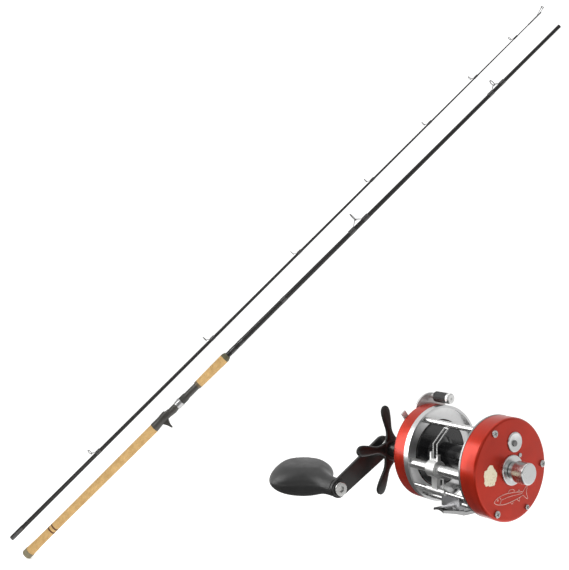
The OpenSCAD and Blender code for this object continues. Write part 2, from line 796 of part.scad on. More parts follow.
module roller_cap() {
    color("#d4d5d5") on_reel() difference() {
        turned_x(-25.2 + fit, [0, 5, 42.2]) soft_edge(4.3, 2.8, 1.3);
        bar_x(1.8 + fit, -26, -22.5, [0, 5, 42.2]);
        bar_x(0.9, -23, -21, [0, 5, 42.2]);
    }
}

// Drive shaft from the bridge plate out to the crank
module drive_shaft() {
    color("#c2c3c4") on_reel() {
        bar_x(2, gear_seam - 1.1, gear_seam - 0.2, drive_pos);
        bar_x(drive_r, crank_x - crank_t - 5, gear_seam - 1.3, drive_pos);
        bar_x(2, gear_seam - 1.4, gear_seam - 1, drive_pos);
    }
}

// Main gear, dished on the outside for its drag washers
module drive_gear() {
    x0 = gear_seam - 5.3;
    x1 = gear_seam - 3.1;
    color("#c79a45") on_reel() difference() {
        gear_x(gear_teeth, gear_m, gear_angle, drive_r + fit, x0, x1, drive_pos);
        bar_x(12.5, x0 - 1, x0 + 0.8, drive_pos);
    }
}

// Stack of alternating drag washers pressed against the gear
module drag_washers() {
    x0 = gear_seam - 4.5;
    color("#6d5a3a") on_reel() for (i = [0:3]) difference() {
        bar_x(12.2 - 0.3 * (i % 2), x0 - 0.6 * (i + 1) + fit, x0 - 0.6 * i, drive_pos);
        bar_x(drive_r + fit, x0 - 4, x0 + 1, drive_pos);
    }
}

// Saw-toothed wheel that the reverse pawl catches
module ratchet_wheel() {
    teeth = 12;
    x0 = gear_seam - 8.6;
    color("#a9aaa8") on_reel() difference() {
        translate([x0, drive_pos.y, drive_pos.z]) rotate([90, 0, 90]) linear_extrude(1.4)
            polygon([for (i = [0:teeth - 1]) for (e = [[0, 8.6], [0.12, 10], [0.2, 10]])
                let (a = (i + e[0]) * 360 / teeth) [e[1] * cos(a), e[1] * sin(a)]]);
        bar_x(drive_r + fit, x0 - 1, x0 + 3, drive_pos);
    }
}

// Spring-loaded pawl beside the ratchet wheel, with its pivot pin
module reverse_pawl() {
    x0 = gear_seam - 8.6;
    pivot = [0, drive_pos.y - 11, drive_pos.z + 13];
    color("#a9aaa8") on_reel() {
        bar_x(1.2, gear_face + cover_wall + 0.1, x0 + 3, pivot);
        bar_x(2.4, x0 + 0.1, x0 + 1.3, pivot);
        translate([x0 + 0.1, pivot.y, pivot.z]) rotate([-8, 0, 0])
            translate([0, 1, -1]) cube([1.2, 10, 2]);
    }
}

module level_cog() {
    x0 = gear_seam - 2.8;
    phase = cog_angle;
    color("#d9d4c4") on_reel()
        gear_x(cog_teeth, cog_m, phase, drive_r + fit, x0, x0 + 1.4, drive_pos);
}

// Level-wind worm with crossing grooves between plain journals
module worm_shaft() {
    groove_r = 2.7;
    color("#c2c3c4") on_reel() {
        difference() {
            bar_x(groove_r, gear_seam - 0.9, palm_seam + 1.5, tube_pos);
            for (i = [-7:7]) for (lean = [-24, 24])
                translate([carriage_x + 2 + i * 3, tube_pos.y, tube_pos.z]) rotate([0, 90 + lean, 0])
                    rotate_extrude() translate([2.25, -0.35]) square([2, 0.7]);
        }
        bar_x(1.8, gear_seam - 2.9, gear_seam - 0.8, tube_pos);
    }
}

module worm_gear() {
    x0 = gear_seam - 2.8;
    phase = cog_angle + 180 + 180 / worm_teeth;
    color("#d9d4c4") on_reel()
        gear_x(worm_teeth, cog_m, phase, 1.8 + fit, x0, x0 + 1.4, tube_pos);
}

// ---- Reel: line guide ----

// Carriage: collar on the tube, fork, pillar and the sleeve on the rail
module line_guide() {
    t = tube_pos;
    color("#dcdddd") on_reel() translate([carriage_x, 0, 0]) difference() {
        union() {
            bar_x(6.3, -4.1, 4.1, t);
            translate([-4, t.y - 1.5, t.z + 4]) cube([1.5, 3, 8]);
            translate([2.5, t.y - 1.5, t.z + 4]) cube([1.5, 3, 6.4]);
            translate([-3, t.y - 1.2, t.z + 4.4]) cube([6, 2.4, 3]);
            translate([-2.7, t.y - 0.9, rail_pos.z + 1]) cube([5.4, 3.4, t.z - rail_pos.z - 5.5]);
            bar_x(2.3, -9, 9, rail_pos);
        }
        bar_x(tube_r + 0.07, -10, 10, t);
        bar_x(1.2 + 0.07, -12, 12, rail_pos);
        translate([0, t.y, t.z]) rotate([-90, 0, 0]) cylinder(r = 1.03, h = 10);
    }
}

// Bent wires of the carriage: the narrow line slot and the slack-line deflector
module guide_wires() {
    t = tube_pos;
    wire_r = 0.5;
    half = 1.9;
    knee = [0, t.y, 14.3];
    top = [0, -19.9, 24.9];
    color("#eceded") on_reel() translate([carriage_x, 0, 0]) {
        for (s = [-half, half]) {
            bar([s, t.y, t.z + 7.45], [s, knee.y, knee.z], wire_r);
            translate([s, knee.y, knee.z]) sphere(r = wire_r + 0.04);
            bar([s, knee.y, knee.z], [s, top.y, top.z], wire_r);
            translate([s, top.y, top.z]) sphere(r = wire_r + 0.04);
        }
        bar([-half, top.y, top.z], [half, top.y, top.z], wire_r - 0.03);
        bar([6.8, rail_pos.y - 0.3, rail_pos.z + 2.4], [6.8, rail_pos.y - 0.3, t.z - 6.4], wire_r - 0.05);
        translate([6.8, rail_pos.y - 0.3, t.z - 6.4]) sphere(r = wire_r);
        bar([6.8, rail_pos.y - 0.3, t.z - 6.4], [3.9, t.y, t.z - 6.9], wire_r - 0.05);
        bar([6.8, rail_pos.y + 2.8, rail_pos.z + 0.6], [6.8, -18, -24.1], wire_r - 0.05);
    }
}

module guide_pawl() {
    t = tube_pos;
    color("#b5893c") on_reel() translate([carriage_x, 0, 0]) {
        translate([0, t.y + 3, t.z]) rotate([-90, 0, 0]) cylinder(r = 1, h = 3.3);
        translate([0, t.y + 6.3 + fit, t.z]) rotate([-90, 0, 0]) cylinder(r = 2, h = 1);
    }
}

// ---- Reel: handle ----

// Star drag: a sleeve and five arms with rounded paddle tips
module star_drag() {
    arm_t = 3.4;
    color("#232221") on_reel() difference() {
        union() {
            bar_x(6.3, star_x + arm_t - 0.2, gear_face - 6, drive_pos);
            bar_x(5.5, star_x - 5.5, star_x + 0.2, drive_pos);
            translate([star_x, drive_pos.y, drive_pos.z]) rotate([0, 90, 0])
                linear_extrude(arm_t) polygon([for (i = [0:4]) each star_arm(194 + 72 * i)]);
        }
        bar_x(drive_r + run, star_x - 6, gear_face, drive_pos);
    }
}

// Outline of one arm at angle a, from the valley beside it round its paddle tip
function star_arm(a) = let (
        tip_r = 4.3,
        valley = 8.6,
        side = [[11, 4.3], [14.5, 3.1], [18, 2.9], [22, 3.5]],
        tip = [for (t = [-75:15:75]) [star_r - tip_r + tip_r * cos(t), tip_r * sin(t)]],
        right = [for (i = [0:3]) [side[i].x, -side[i].y]],
        left = [for (i = [3:-1:0]) side[i]]
    ) [for (p = concat([[valley * cos(36), -valley * sin(36)]], right, tip, left))
        [p.x * cos(a) - p.y * sin(a), p.x * sin(a) + p.y * cos(a)]];

module star_insert() {
    x0 = star_x - 1.6 - fit;
    color("#cfd0d1") on_reel() difference() {
        turned_x(x0, drive_pos) soft_edge(9, 1.6, 0.4);
        bar_x(5.5 + fit, x0 - 1, x0 + 3, drive_pos);
    }
}

// Flat crank with rounded ends, wider at the shaft
module crank_arm() {
    half0 = 8.9;
    half1 = 7.4;
    color("#262423") on_reel() difference() {
        translate([crank_x, drive_pos.y, drive_pos.z]) rotate([180 + crank_drop, 0, 0]) rotate([0, -90, 0]) {
            cylinder(r = half0 + 0.1, h = crank_t);
            translate([0, crank_len, 0]) cylinder(r = half1 + 0.1, h = crank_t);
            linear_extrude(crank_t)
                polygon([[-half0, 0], [-half1, crank_len], [half1, crank_len], [half0, 0]]);
        }
        bar_x(drive_r + fit, crank_x - crank_t - 1, crank_x + 1, drive_pos);
        bar_x(2.5 + fit, crank_x - crank_t - 1, crank_x + 1, knob_pos);
    }
}

module handle_nut() {
    color("#cfd0d1") on_reel() difference() {
        translate([crank_x - crank_t - 4.4, drive_pos.y, drive_pos.z]) rotate([0, 90, 0])
            cylinder(r = 6, h = 4.4 - fit, $fn = 6);
        bar_x(drive_r + fit, crank_x - crank_t - 6, crank_x, drive_pos);
    }
}

// Knob spindle, riveted through the crank, with its hex-socket head on the inner side
module knob_spindle() {
    color("#d4d5d5") on_reel() difference() {
        union() {
            bar_x(2.5, knob_x - 15, crank_x + 0.5, knob_pos);
            turned_x(crank_x + fit, knob_pos) soft_edge(5.6, 2.5, 0.6);
            bar_x(5.4, crank_x - crank_t - 2.4, crank_x - crank_t - fit, knob_pos);
        }
        translate([crank_x + 1.2, knob_pos.y, knob_pos.z]) rotate([0, 90, 0])
            cylinder(r = 2.6, h = 2, $fn = 6);
    }
}

// Paddle knob: a flattened oval body with a tapered neck, bored for its spindle
module knob() {
    neck_x = crank_x - crank_t - 2.8;
    color("#3b3c3d") on_reel() difference() {
        union() {
            intersection() {
                translate([knob_x, knob_pos.y, knob_pos.z])
                    scale([0.84, 1, 0.58]) sphere(r = knob_len / 2, $fn = 48);
                translate([knob_x, knob_pos.y, knob_pos.z])
                    cube([60, 60, knob_thick], center = true);
            }
            turned_x(knob_x + 8, knob_pos)
                polygon([[0, 0], [15, 0], [14.2, 6], [11.4, 14], [8.8, 22], [7, neck_x - knob_x - 8],
                    [0, neck_x - knob_x - 8]]);
        }
        bar_x(2.5 + run, knob_x - 15.4, neck_x + 1, knob_pos);
    }
}

// ---- Reel: palm-side controls ----

// Spool tension cap, screwed over the collar's neck
module tension_cap() {
    x0 = palm_face + 1.9;
    color("#dcdddd") on_reel() turned_x(x0) difference() {
        union() {
            square([6.4, 5]);
            translate([0, 3.6]) soft_edge(7.7, 10, 0.9);
        }
        square([5 + run, 3.2]);
        square([shaft_r + 0.4, 5]);
    }
}

module click_button() {
    p = cover_pt(19.7, -8);
    color("#cfd0d1") on_reel() {
        turned_x(palm_face - 0.9, [0, p.y, p.z - 1]) soft_edge(2.3, 2.2, 0.8);
        bar_x(0.9, palm_face - 3.2, palm_face - 0.8, [0, p.y, p.z - 1]);
    }
}

butt_cap();
rear_grip();
grip_rings();
reel_seat();
seat_hood();
hood_nut();
fore_trim();
fore_grip();
winding_check();
butt_blank();
butt_guides();
butt_ring_inserts();
butt_wraps();
tip_blank();
tip_guides();
tip_ring_inserts();
tip_wraps();
tip_top();
gear_frame();
palm_frame();
pillars();
guide_rail();
level_wind_tube();
foot();
foot_blocks();
palm_cover();
cover_screws();
centre_collar();
click_dish();
gear_cover();
bridge_plate();
spool_bearings();
drive_bushing();
spool();
spool_shaft();
brake_blocks();
pinion();
clutch_yoke();
clutch_lever();
lever_roller();
roller_cap();
drive_shaft();
drive_gear();
drag_washers();
ratchet_wheel();
reverse_pawl();
level_cog();
worm_shaft();
worm_gear();
line_guide();
guide_wires();
guide_pawl();
star_drag();
star_insert();
crank_arm();
handle_nut();
knob_spindle();
knob();
tension_cap();
click_button();
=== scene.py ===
"""Looks for the rod and reel set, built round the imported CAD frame.

Everything is in metres in the shared frame. Reel pieces are drawn in the reel's own
millimetres (+X along the spool axis to the palm side, -Y to the front, +Z up) and
rod pieces in the butt's or tip's own (+Z up the blank, guides on the -X side).
"""

import itertools
import json
import math

import bmesh
import bpy
from mathutils import Matrix, Vector

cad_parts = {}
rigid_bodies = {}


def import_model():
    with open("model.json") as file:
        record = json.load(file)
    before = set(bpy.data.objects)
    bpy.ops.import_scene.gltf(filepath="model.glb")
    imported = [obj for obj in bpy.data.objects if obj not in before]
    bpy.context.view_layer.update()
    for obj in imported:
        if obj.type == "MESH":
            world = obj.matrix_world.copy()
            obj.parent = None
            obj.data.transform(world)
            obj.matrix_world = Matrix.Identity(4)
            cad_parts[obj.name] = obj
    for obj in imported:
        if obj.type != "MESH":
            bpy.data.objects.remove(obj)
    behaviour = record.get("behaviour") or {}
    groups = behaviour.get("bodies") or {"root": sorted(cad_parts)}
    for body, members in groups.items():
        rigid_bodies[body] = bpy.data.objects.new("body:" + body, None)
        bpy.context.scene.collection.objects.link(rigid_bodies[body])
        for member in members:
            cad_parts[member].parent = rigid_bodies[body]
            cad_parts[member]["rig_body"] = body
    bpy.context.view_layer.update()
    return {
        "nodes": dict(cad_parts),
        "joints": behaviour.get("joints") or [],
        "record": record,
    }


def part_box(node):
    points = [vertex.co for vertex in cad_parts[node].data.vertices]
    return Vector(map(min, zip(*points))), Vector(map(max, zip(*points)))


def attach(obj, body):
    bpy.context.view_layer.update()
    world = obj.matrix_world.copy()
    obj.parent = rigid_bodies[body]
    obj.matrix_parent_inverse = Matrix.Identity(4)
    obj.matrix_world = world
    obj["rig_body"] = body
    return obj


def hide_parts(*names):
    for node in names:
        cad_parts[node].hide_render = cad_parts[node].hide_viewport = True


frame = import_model()
record = frame["record"]
joints = {j["name"]: j for j in frame["joints"]}
mounts = {m["name"]: m for m in record["mounts"]}
MM = 0.001

# ---------------------------------------------------------------- places


def axes_matrix(origin, x_axis, z_axis):
    """Matrix from a piece's own millimetres to the shared frame's metres."""
    x = Vector(x_axis).normalized()
    z = Vector(z_axis).normalized()
    y = z.cross(x)
    turn = Matrix((x, y, z)).transposed().to_4x4()
    return Matrix.Translation(Vector(origin)) @ turn @ Matrix.Scale(MM, 4)


REEL = axes_matrix(joints["spool_turn"]["pos_m"], joints["spool_turn"]["axis"], (0, 0, 1))
BUTT_AXIS = Vector(mounts["butt_ferrule"]["axis"])
TIP_AXIS = -Vector(mounts["tip_ferrule_socket"]["axis"])
# Where the rear_grip and tip_ferrule_socket mounts sit along their sections, in millimetres
GRIP_MID = 215
TIP_MOUNT = 41


def rod_matrix(origin, axis):
    """The rod's own frame: +Z up the blank, -X on the side where the guides are."""
    side = Vector((0, 1, 0)).cross(axis)
    return axes_matrix(origin, side, axis)


BUTT = rod_matrix(Vector(mounts["rear_grip"]["pos_m"]) - BUTT_AXIS * GRIP_MID * MM, BUTT_AXIS)
TIP = rod_matrix(
    Vector(mounts["tip_ferrule_socket"]["pos_m"]) - TIP_AXIS * TIP_MOUNT * MM, TIP_AXIS
)


def reel_local(world_point):
    """A point of the shared frame in the reel's own millimetres."""
    return REEL.inverted() @ Vector(world_point)


def reel_span(node):
    """Lowest and highest place of a CAD node along the spool axis."""
    xs = [reel_local(v.co).x for v in frame["nodes"][node].data.vertices]
    return min(xs), max(xs)


def box_corners(low, high):
    """The eight corners of a box."""
    spans = ((low.x, high.x), (low.y, high.y), (low.z, high.z))
    return [Vector(corner_point) for corner_point in itertools.product(*spans)]


DRIVE = reel_local(joints["handle_turn"]["pos_m"])
KNOB = reel_local(joints["knob_turn"]["pos_m"])

# ---------------------------------------------------------------- camera

FOCAL_PX = 782.6
IMAGE_W = 569
CAMERA_PLACE = (0.4417, -1.800, 0.4701)
camera_data = bpy.data.cameras.new("camera")
camera_data.sensor_width = 36
camera_data.sensor_fit = "HORIZONTAL"
camera_data.lens = FOCAL_PX / IMAGE_W * camera_data.sensor_width
camera = bpy.data.objects.new("camera", camera_data)
bpy.context.scene.collection.objects.link(camera)
camera.location = CAMERA_PLACE
camera.rotation_euler = (math.radians(90), 0, 0)
bpy.context.scene.camera = camera

# ---------------------------------------------------------------- materials


class Nodes:
    """A short way to write a material's node tree."""

    def __init__(self, name):
        self.material = bpy.data.materials.new(name)
        self.material.use_nodes = True
        self.tree = self.material.node_tree
        self.shader = self.tree.nodes["Principled BSDF"]
        self.place = self.tree.nodes.new("ShaderNodeTexCoord").outputs["Object"]

    def add(self, kind, inputs=(), **settings):
        node = self.tree.nodes.new("ShaderNode" + kind)
        for key, value in settings.items():
            setattr(node, key, value)
        for key, value in dict(inputs).items():
            self.put(node.inputs[key], value)
        return node

    def put(self, socket, value):
        if isinstance(value, bpy.types.NodeSocket):
            self.tree.links.new(value, socket)
        elif isinstance(value, bpy.types.Node):
            self.tree.links.new(value.outputs[0], socket)
        else:
            socket.default_value = value

    def math(self, operation, a, b=0.0, clamp=False):
        node = self.add("Math", {0: a, 1: b}, operation=operation, use_clamp=clamp)
        return node.outputs[0]

    def ramp(self, value, stops):
        node = self.add("ValToRGB", {0: value})
        ramp = node.color_ramp
        while len(ramp.elements) < len(stops):
            ramp.elements.new(0.5)
        for element, (position, colour) in zip(ramp.elements, stops):
            element.position = position
            element.color = (*colour, 1) if len(colour) == 3 else colour
        return node.outputs[0]

    def grey(self, value, low, high, start=0.3, end=0.7):
        """Maps a 0 to 1 value to a plain number between low and high."""
        node = self.add("MapRange", {0: value, 1: start, 2: end, 3: low, 4: high})
        return node.outputs[0]

    def noise(self, scale, detail=4, rough=0.55, vector=None, distortion=0.0):
        node = self.add(
            "TexNoise",
            {
                "Vector": vector if vector is not None else self.place,
                "Scale": scale,
                "Detail": detail,
                "Roughness": rough,
                "Distortion": distortion,
            },
        )
        return node.outputs["Fac"]

    def axial(self, matrix, x_scale, r_scale, a_scale=0.0):
        """Coordinates along, out from and round an axis: lathe marks and rod streaks."""
        origin = matrix.translation
        axis = (matrix.to_3x3() @ Vector((1, 0, 0))).normalized()
        side = (matrix.to_3x3() @ Vector((0, 1, 0))).normalized()
        up = axis.cross(side)
        offset = self.add("VectorMath", {0: self.place, 1: origin}, operation="SUBTRACT")
        parts = []
        for direction in (axis, side, up):
            dot = self.add("VectorMath", {0: offset, 1: direction}, operation="DOT_PRODUCT")
            parts.append(dot.outputs["Value"])
        side_square = self.math("POWER", parts[1], 2)
        up_square = self.math("POWER", parts[2], 2)
        squares = self.math("ADD", side_square, up_square)
        radius = self.math("SQRT", squares)
        angle = self.math("ARCTAN2", parts[1], parts[2])
        return self.add(
            "CombineXYZ",
            {
                0: self.math("MULTIPLY", parts[0], x_scale),
                1: self.math("MULTIPLY", radius, r_scale),
                2: self.math("MULTIPLY", angle, a_scale),
            },
        ).outputs[0]

    def bump(self, height, strength, distance):
        node = self.add("Bump", {"Height": height, "Strength": strength, "Distance": distance})
        self.put(self.shader.inputs["Normal"], node)

    def set(self, **values):
        names = {
            "color": "Base Color",
            "rough": "Roughness",
            "metal": "Metallic",
            "coat": "Coat Weight",
            "coat_rough": "Coat Roughness",
            "specular": "Specular IOR Level",
        }
        for key, value in values.items():
            if key == "color" and not isinstance(value, (bpy.types.NodeSocket, bpy.types.Node)):
                value = (*value, 1)
            self.put(self.shader.inputs[names[key]], value)


def shade(colour, factor):
    """A colour made lighter or darker by a factor."""
    return tuple(min(1, c * factor) for c in colour)


def plated(name, colour, rough, wear=0.5, lathe=None):
    """Plated or polished metal: faint haze, fine scratches and a duller, stained patch or two."""
    n = Nodes(name)
    haze = n.noise(55, 5, 0.6)
    fine = n.noise(2600, 2, 0.5)
    stain = n.noise(140, 6, 0.7, distortion=0.4)
    colours = [(0.28, shade(colour, 0.86)), (0.42, shade(colour, 0.97)), (0.8, colour)]
    n.set(color=n.ramp(stain, colours), metal=1.0)
    patch = n.grey(stain, rough + 0.10 * wear, rough, 0.28, 0.42)
    n.set(rough=n.math("ADD", patch, n.grey(haze, 0.0, 0.06 * wear)))
    if lathe is not None:
        rings = n.noise(1.0, 2, 0.6, vector=n.axial(lathe, 9000, 9000))
        n.bump(rings, 0.10, 0.00003)
    else:
        n.bump(fine, 0.06 * wear + 0.02, 0.00003)
    return n.material


def plastic(name, colour, rough, grain=0.3, grain_scale=1800, coat=0.0, metal=0.0):
    """Moulded plastic, rubber or painted metal: a soft grain, dust and handling shine."""
    n = Nodes(name)
    cloud = n.noise(38, 5, 0.6)
    grains = n.noise(grain_scale, 3, 0.6)
    colours = [(0.28, shade(colour, 0.72)), (0.55, colour), (0.8, shade(colour, 1.35))]
    n.set(color=n.ramp(cloud, colours), metal=metal, coat=coat, coat_rough=0.12)
    n.set(rough=n.grey(n.noise(90, 4, 0.6), rough - 0.07, rough + 0.1))
    n.bump(grains, grain, 0.00006)
    return n.material


def cork_material(name, light, dark, pit_colour):
    """Cork: warm body with streaks, fine dark flecks and open pits."""
    n = Nodes(name)
    body = n.noise(70, 6, 0.65)
    pores = n.add(
        "TexVoronoi", {"Vector": n.place, "Scale": 520, "Randomness": 1.0}, feature="F1"
    ).outputs["Distance"]
    fleck = n.noise(330, 5, 0.75, distortion=0.8)
    base = n.ramp(body, [(0.3, dark), (0.52, light), (0.75, shade(light, 1.16))])
    flecks = n.grey(fleck, 1.0, 0.0, 0.30, 0.40)
    pits = n.grey(pores, 1.0, 0.0, 0.10, 0.20)
    marks = n.math("MAXIMUM", flecks, n.math("MULTIPLY", pits, 0.75), clamp=True)
    mixed = n.add("MixRGB", {0: marks, 1: base, 2: (*pit_colour, 1)})
    n.set(color=mixed.outputs[0], rough=n.grey(body, 0.62, 0.86), specular=0.25)
    height = n.math("SUBTRACT", n.math("MULTIPLY", body, 0.4), marks)
    n.bump(height, 0.5, 0.00025)
    return n.material


def blank_material(name, matrix):
    """Rod blank: black fibre under a clear gloss, with faint spiral wrap lines."""
    n = Nodes(name)
    along = matrix @ Matrix.Rotation(math.radians(-90), 4, "Y")
    streak = n.noise(1.0, 4, 0.6, vector=n.axial(along, 14, 0, 2.2))
    wraps = n.noise(1.0, 2, 0.5, vector=n.axial(along, 900, 0, 1.0))
    colours = [
        (0.3, (0.006, 0.006, 0.006)),
        (0.6, (0.014, 0.013, 0.012)),
        (0.8, (0.032, 0.028, 0.026)),
    ]
    n.set(color=n.ramp(streak, colours), rough=n.grey(wraps, 0.26, 0.38), specular=0.3)
    n.set(coat=0.15, coat_rough=0.08)
    n.bump(wraps, 0.12, 0.00008)
    return n.material


def thread_material(name, matrix):
    """Whipping: fine turns of black thread under varnish."""
    n = Nodes(name)
    along = matrix @ Matrix.Rotation(math.radians(-90), 4, "Y")
    wave = n.add(
        "TexWave",
        {"Vector": n.axial(along, 1, 0, 0), "Scale": 900, "Distortion": 0.4, "Detail": 1},
        wave_type="BANDS",
        bands_direction="X",
    ).outputs["Fac"]
    colours = [(0.2, (0.004, 0.004, 0.004)), (0.8, (0.020, 0.019, 0.018))]
    n.set(color=n.ramp(wave, colours), rough=n.grey(n.noise(200), 0.18, 0.32))
    n.set(coat=0.8, coat_rough=0.06)
    n.bump(wave, 0.35, 0.0001)
    return n.material


def anodised_material(name, colour):
    """Red anodised metal: turned rings, a soft clear coat, dirt and fine paler scratches."""
    n = Nodes(name)
    turned = n.noise(1.0, 3, 0.6, vector=n.axial(REEL, 5200, 5200))
    broad = n.noise(1.0, 2, 0.5, vector=n.axial(REEL, 160, 60, 1.2))
    dirt = n.noise(85, 6, 0.7)
    scratches = n.noise(1.0, 3, 0.65, vector=n.add(
        "Mapping", {"Vector": n.place, "Rotation": (0.4, 0.9, 0.3), "Scale": (2600, 110, 300)}
    ).outputs[0])
    base = n.ramp(broad, [(0.3, shade(colour, 0.84)), (0.6, colour), (0.85, shade(colour, 1.12))])
    scuff = n.grey(scratches, 0.0, 0.35, 0.70, 0.80)
    worn = n.add("MixRGB", {0: scuff, 1: base, 2: (*shade(colour, 1.5), 1)}).outputs[0]
    n.set(color=worn, metal=0.7, coat=0.5, coat_rough=0.21, specular=0.05)
    rough = n.math("ADD", n.grey(dirt, 0.30, 0.40), n.grey(turned, 0.0, 0.06))
    n.set(rough=rough)
    n.bump(turned, 0.12, 0.00004)
    return n.material


def brushed(name, colour, rough):
    """Turned or ground metal with fine lathe rings round the spool axis."""
    n = Nodes(name)
    rings = n.noise(1.0, 2, 0.6, vector=n.axial(REEL, 7000, 7000))
    cloud = n.noise(80, 5, 0.65)
    n.set(color=n.ramp(cloud, [(0.3, shade(colour, 0.75)), (0.6, colour)]), metal=1.0)
    n.set(rough=n.math("ADD", n.grey(rings, rough - 0.08, rough + 0.1), n.grey(cloud, 0.05, 0.0)))
    n.bump(rings, 0.15, 0.00004)
    return n.material


RED = (0.50, 0.024, 0.007)
MATERIALS = {
    "cap_rubber": plastic("cap_rubber", (0.23, 0.20, 0.12), 0.6, 0.4, 900),
    "cork": cork_material("cork", (0.62, 0.40, 0.165), (0.50, 0.305, 0.11), (0.26, 0.12, 0.045)),
    "dark_cork": cork_material(
        "dark_cork", (0.13, 0.06, 0.032), (0.09, 0.04, 0.02), (0.04, 0.02, 0.01)
    ),
    "seat_plastic": plastic("seat_plastic", (0.038, 0.035, 0.029), 0.38, 0.10, 700, coat=0.25),
    "hood_metal": plated("hood_metal", (0.50, 0.50, 0.50), 0.30, 0.6),
    "nut_plastic": plastic("nut_plastic", (0.040, 0.040, 0.035), 0.48, 0.3),
    "trim": plastic("trim", (0.105, 0.075, 0.035), 0.3, 0.1, 600, coat=0.5),
    "check_plastic": plastic("check_plastic", (0.11, 0.10, 0.05), 0.5, 0.3),
    "blank": blank_material("blank", BUTT),
    "guide_frame": plated("guide_frame", (0.13, 0.13, 0.13), 0.34, 0.7),
    "ring_ceramic": plastic("ring_ceramic", (0.04, 0.04, 0.042), 0.3, 0.05, 500, coat=0.15),
    "thread_wrap": thread_material("thread_wrap", BUTT),
    "tip_steel": plated("tip_steel", (0.20, 0.20, 0.20), 0.3, 0.7),
    "frame_chrome": plated("frame_chrome", (0.72, 0.72, 0.72), 0.28, 0.4, lathe=REEL),
    "rail_steel": plated("rail_steel", (0.68, 0.68, 0.675), 0.26, 0.4),
    "foot_metal": plated("foot_metal", (0.50, 0.50, 0.50), 0.12, 0.6),
    "block_metal": plated("block_metal", (0.36, 0.36, 0.37), 0.28, 1.0),
    "red_anodised": anodised_material("red_anodised", RED),
    "screw_steel": plated("screw_steel", (0.52, 0.52, 0.51), 0.2, 0.9),
    "cap_chrome": plated("cap_chrome", (0.68, 0.69, 0.685), 0.26, 0.6, lathe=REEL),
    "brass": brushed("brass", (0.62, 0.42, 0.14), 0.3),
    "bearing_steel": brushed("bearing_steel", (0.6, 0.6, 0.6), 0.25),
    "spool_black": plastic("spool_black", (0.010, 0.010, 0.011), 0.2, 0.05, 900, coat=0.5),
    "shaft_steel": brushed("shaft_steel", (0.6, 0.6, 0.6), 0.22),
    "brake_fibre": plastic("brake_fibre", (0.30, 0.05, 0.03), 0.6, 0.4),
    "lever_chrome": plated("lever_chrome", (0.84, 0.84, 0.83), 0.34, 0.4),
    "roller_black": plastic("roller_black", (0.035, 0.035, 0.035), 0.5, 0.3),
    "washer_fibre": plastic("washer_fibre", (0.16, 0.11, 0.05), 0.7, 0.5),
    "cog_plastic": plastic("cog_plastic", (0.70, 0.67, 0.57), 0.4, 0.1),
    "star_black": plastic("star_black", (0.007, 0.0066, 0.006), 0.36, 0.12, 900, coat=0.12),
    "knob_plastic": plastic("knob_plastic", (0.020, 0.020, 0.020), 0.40, 0.22, 1500),
}
TIP_MATERIALS = {
    "blank": blank_material("tip_blank", TIP),
    "thread_wrap": thread_material("tip_thread_wrap", TIP),
}
TIP_BODY = "tip_section"

slot_of = {s["node"]: s["material_slot"] for s in record["subparts"]}
for node_name, node_object in frame["nodes"].items():
    slot = slot_of[node_name]
    on_tip = node_object["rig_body"] == TIP_BODY
    material = TIP_MATERIALS.get(slot, MATERIALS[slot]) if on_tip else MATERIALS[slot]
    node_object.data.materials.clear()
    node_object.data.materials.append(material)

# ---------------------------------------------------------------- mesh tools


def add_piece(name, mesh, matrix, body, slot, replaces=(), material=None, sharp=35):
    """Puts a bmesh drawn in a frame's millimetres into the scene on a CAD body."""
    bmesh.ops.remove_doubles(mesh, verts=mesh.verts, dist=0.001)
    bmesh.ops.recalc_face_normals(mesh, faces=mesh.faces)
    bmesh.ops.transform(mesh, matrix=matrix, verts=mesh.verts)
    data = bpy.data.meshes.new(name)
    mesh.to_mesh(data)
    mesh.free()
    for face in data.polygons:
        face.use_smooth = True
    data.set_sharp_from_angle(angle=math.radians(sharp))
    data.materials.append(material or MATERIALS[slot])
    piece = bpy.data.objects.new(name, data)
    bpy.context.scene.collection.objects.link(piece)
    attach(piece, body)
    if replaces:
        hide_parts(*replaces)
    return piece


def round_edges(piece, width, segments=2, angle=35):
    """Rounds a piece's sharp edges by a width in millimetres."""
    bevel = piece.modifiers.new("round", "BEVEL")
    bevel.width = width * MM
    bevel.segments = segments
    bevel.limit_method = "ANGLE"
    bevel.angle_limit = math.radians(angle)
    bevel.harden_normals = False
    return piece


def softened(node, width=0.25, segments=2, angle=35):
    """A CAD node's own shape with its edges rounded, standing in for the node."""
    source = frame["nodes"][node]
    mesh = bmesh.new()
    mesh.from_mesh(source.data)
    bmesh.ops.remove_doubles(mesh, verts=mesh.verts, dist=0.000002)
    bmesh.ops.dissolve_limit(
        mesh, angle_limit=math.radians(0.5), verts=mesh.verts, edges=mesh.edges
    )
    data = bpy.data.meshes.new(node + "_soft")
    mesh.to_mesh(data)
    mesh.free()
    for face in data.polygons:
        face.use_smooth = True
    data.set_sharp_from_angle(angle=math.radians(angle))
    data.materials.append(source.data.materials[0])
    piece = bpy.data.objects.new(node + "_soft", data)
    bpy.context.scene.collection.objects.link(piece)
    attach(piece, source["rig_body"])
    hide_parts(node)
    return round_edges(piece, width, segments, angle)


def join_rings(mesh, rings, closed_loop=False):
    """Skins rings of equal length, in order, and closes the ends or joins last to first."""
    loops = [[mesh.verts.new(p) for p in ring] for ring in rings]
    pairs = list(zip(loops, loops[1:]))
    if closed_loop:
        pairs.append((loops[-1], loops[0]))
    for low, high in pairs:
        for i in range(len(low)):
            j = (i + 1) % len(low)
            mesh.faces.new((low[i], low[j], high[j], high[i]))
    if not closed_loop:
        mesh.faces.new(loops[0][::-1])
        mesh.faces.new(loops[-1])
    return mesh


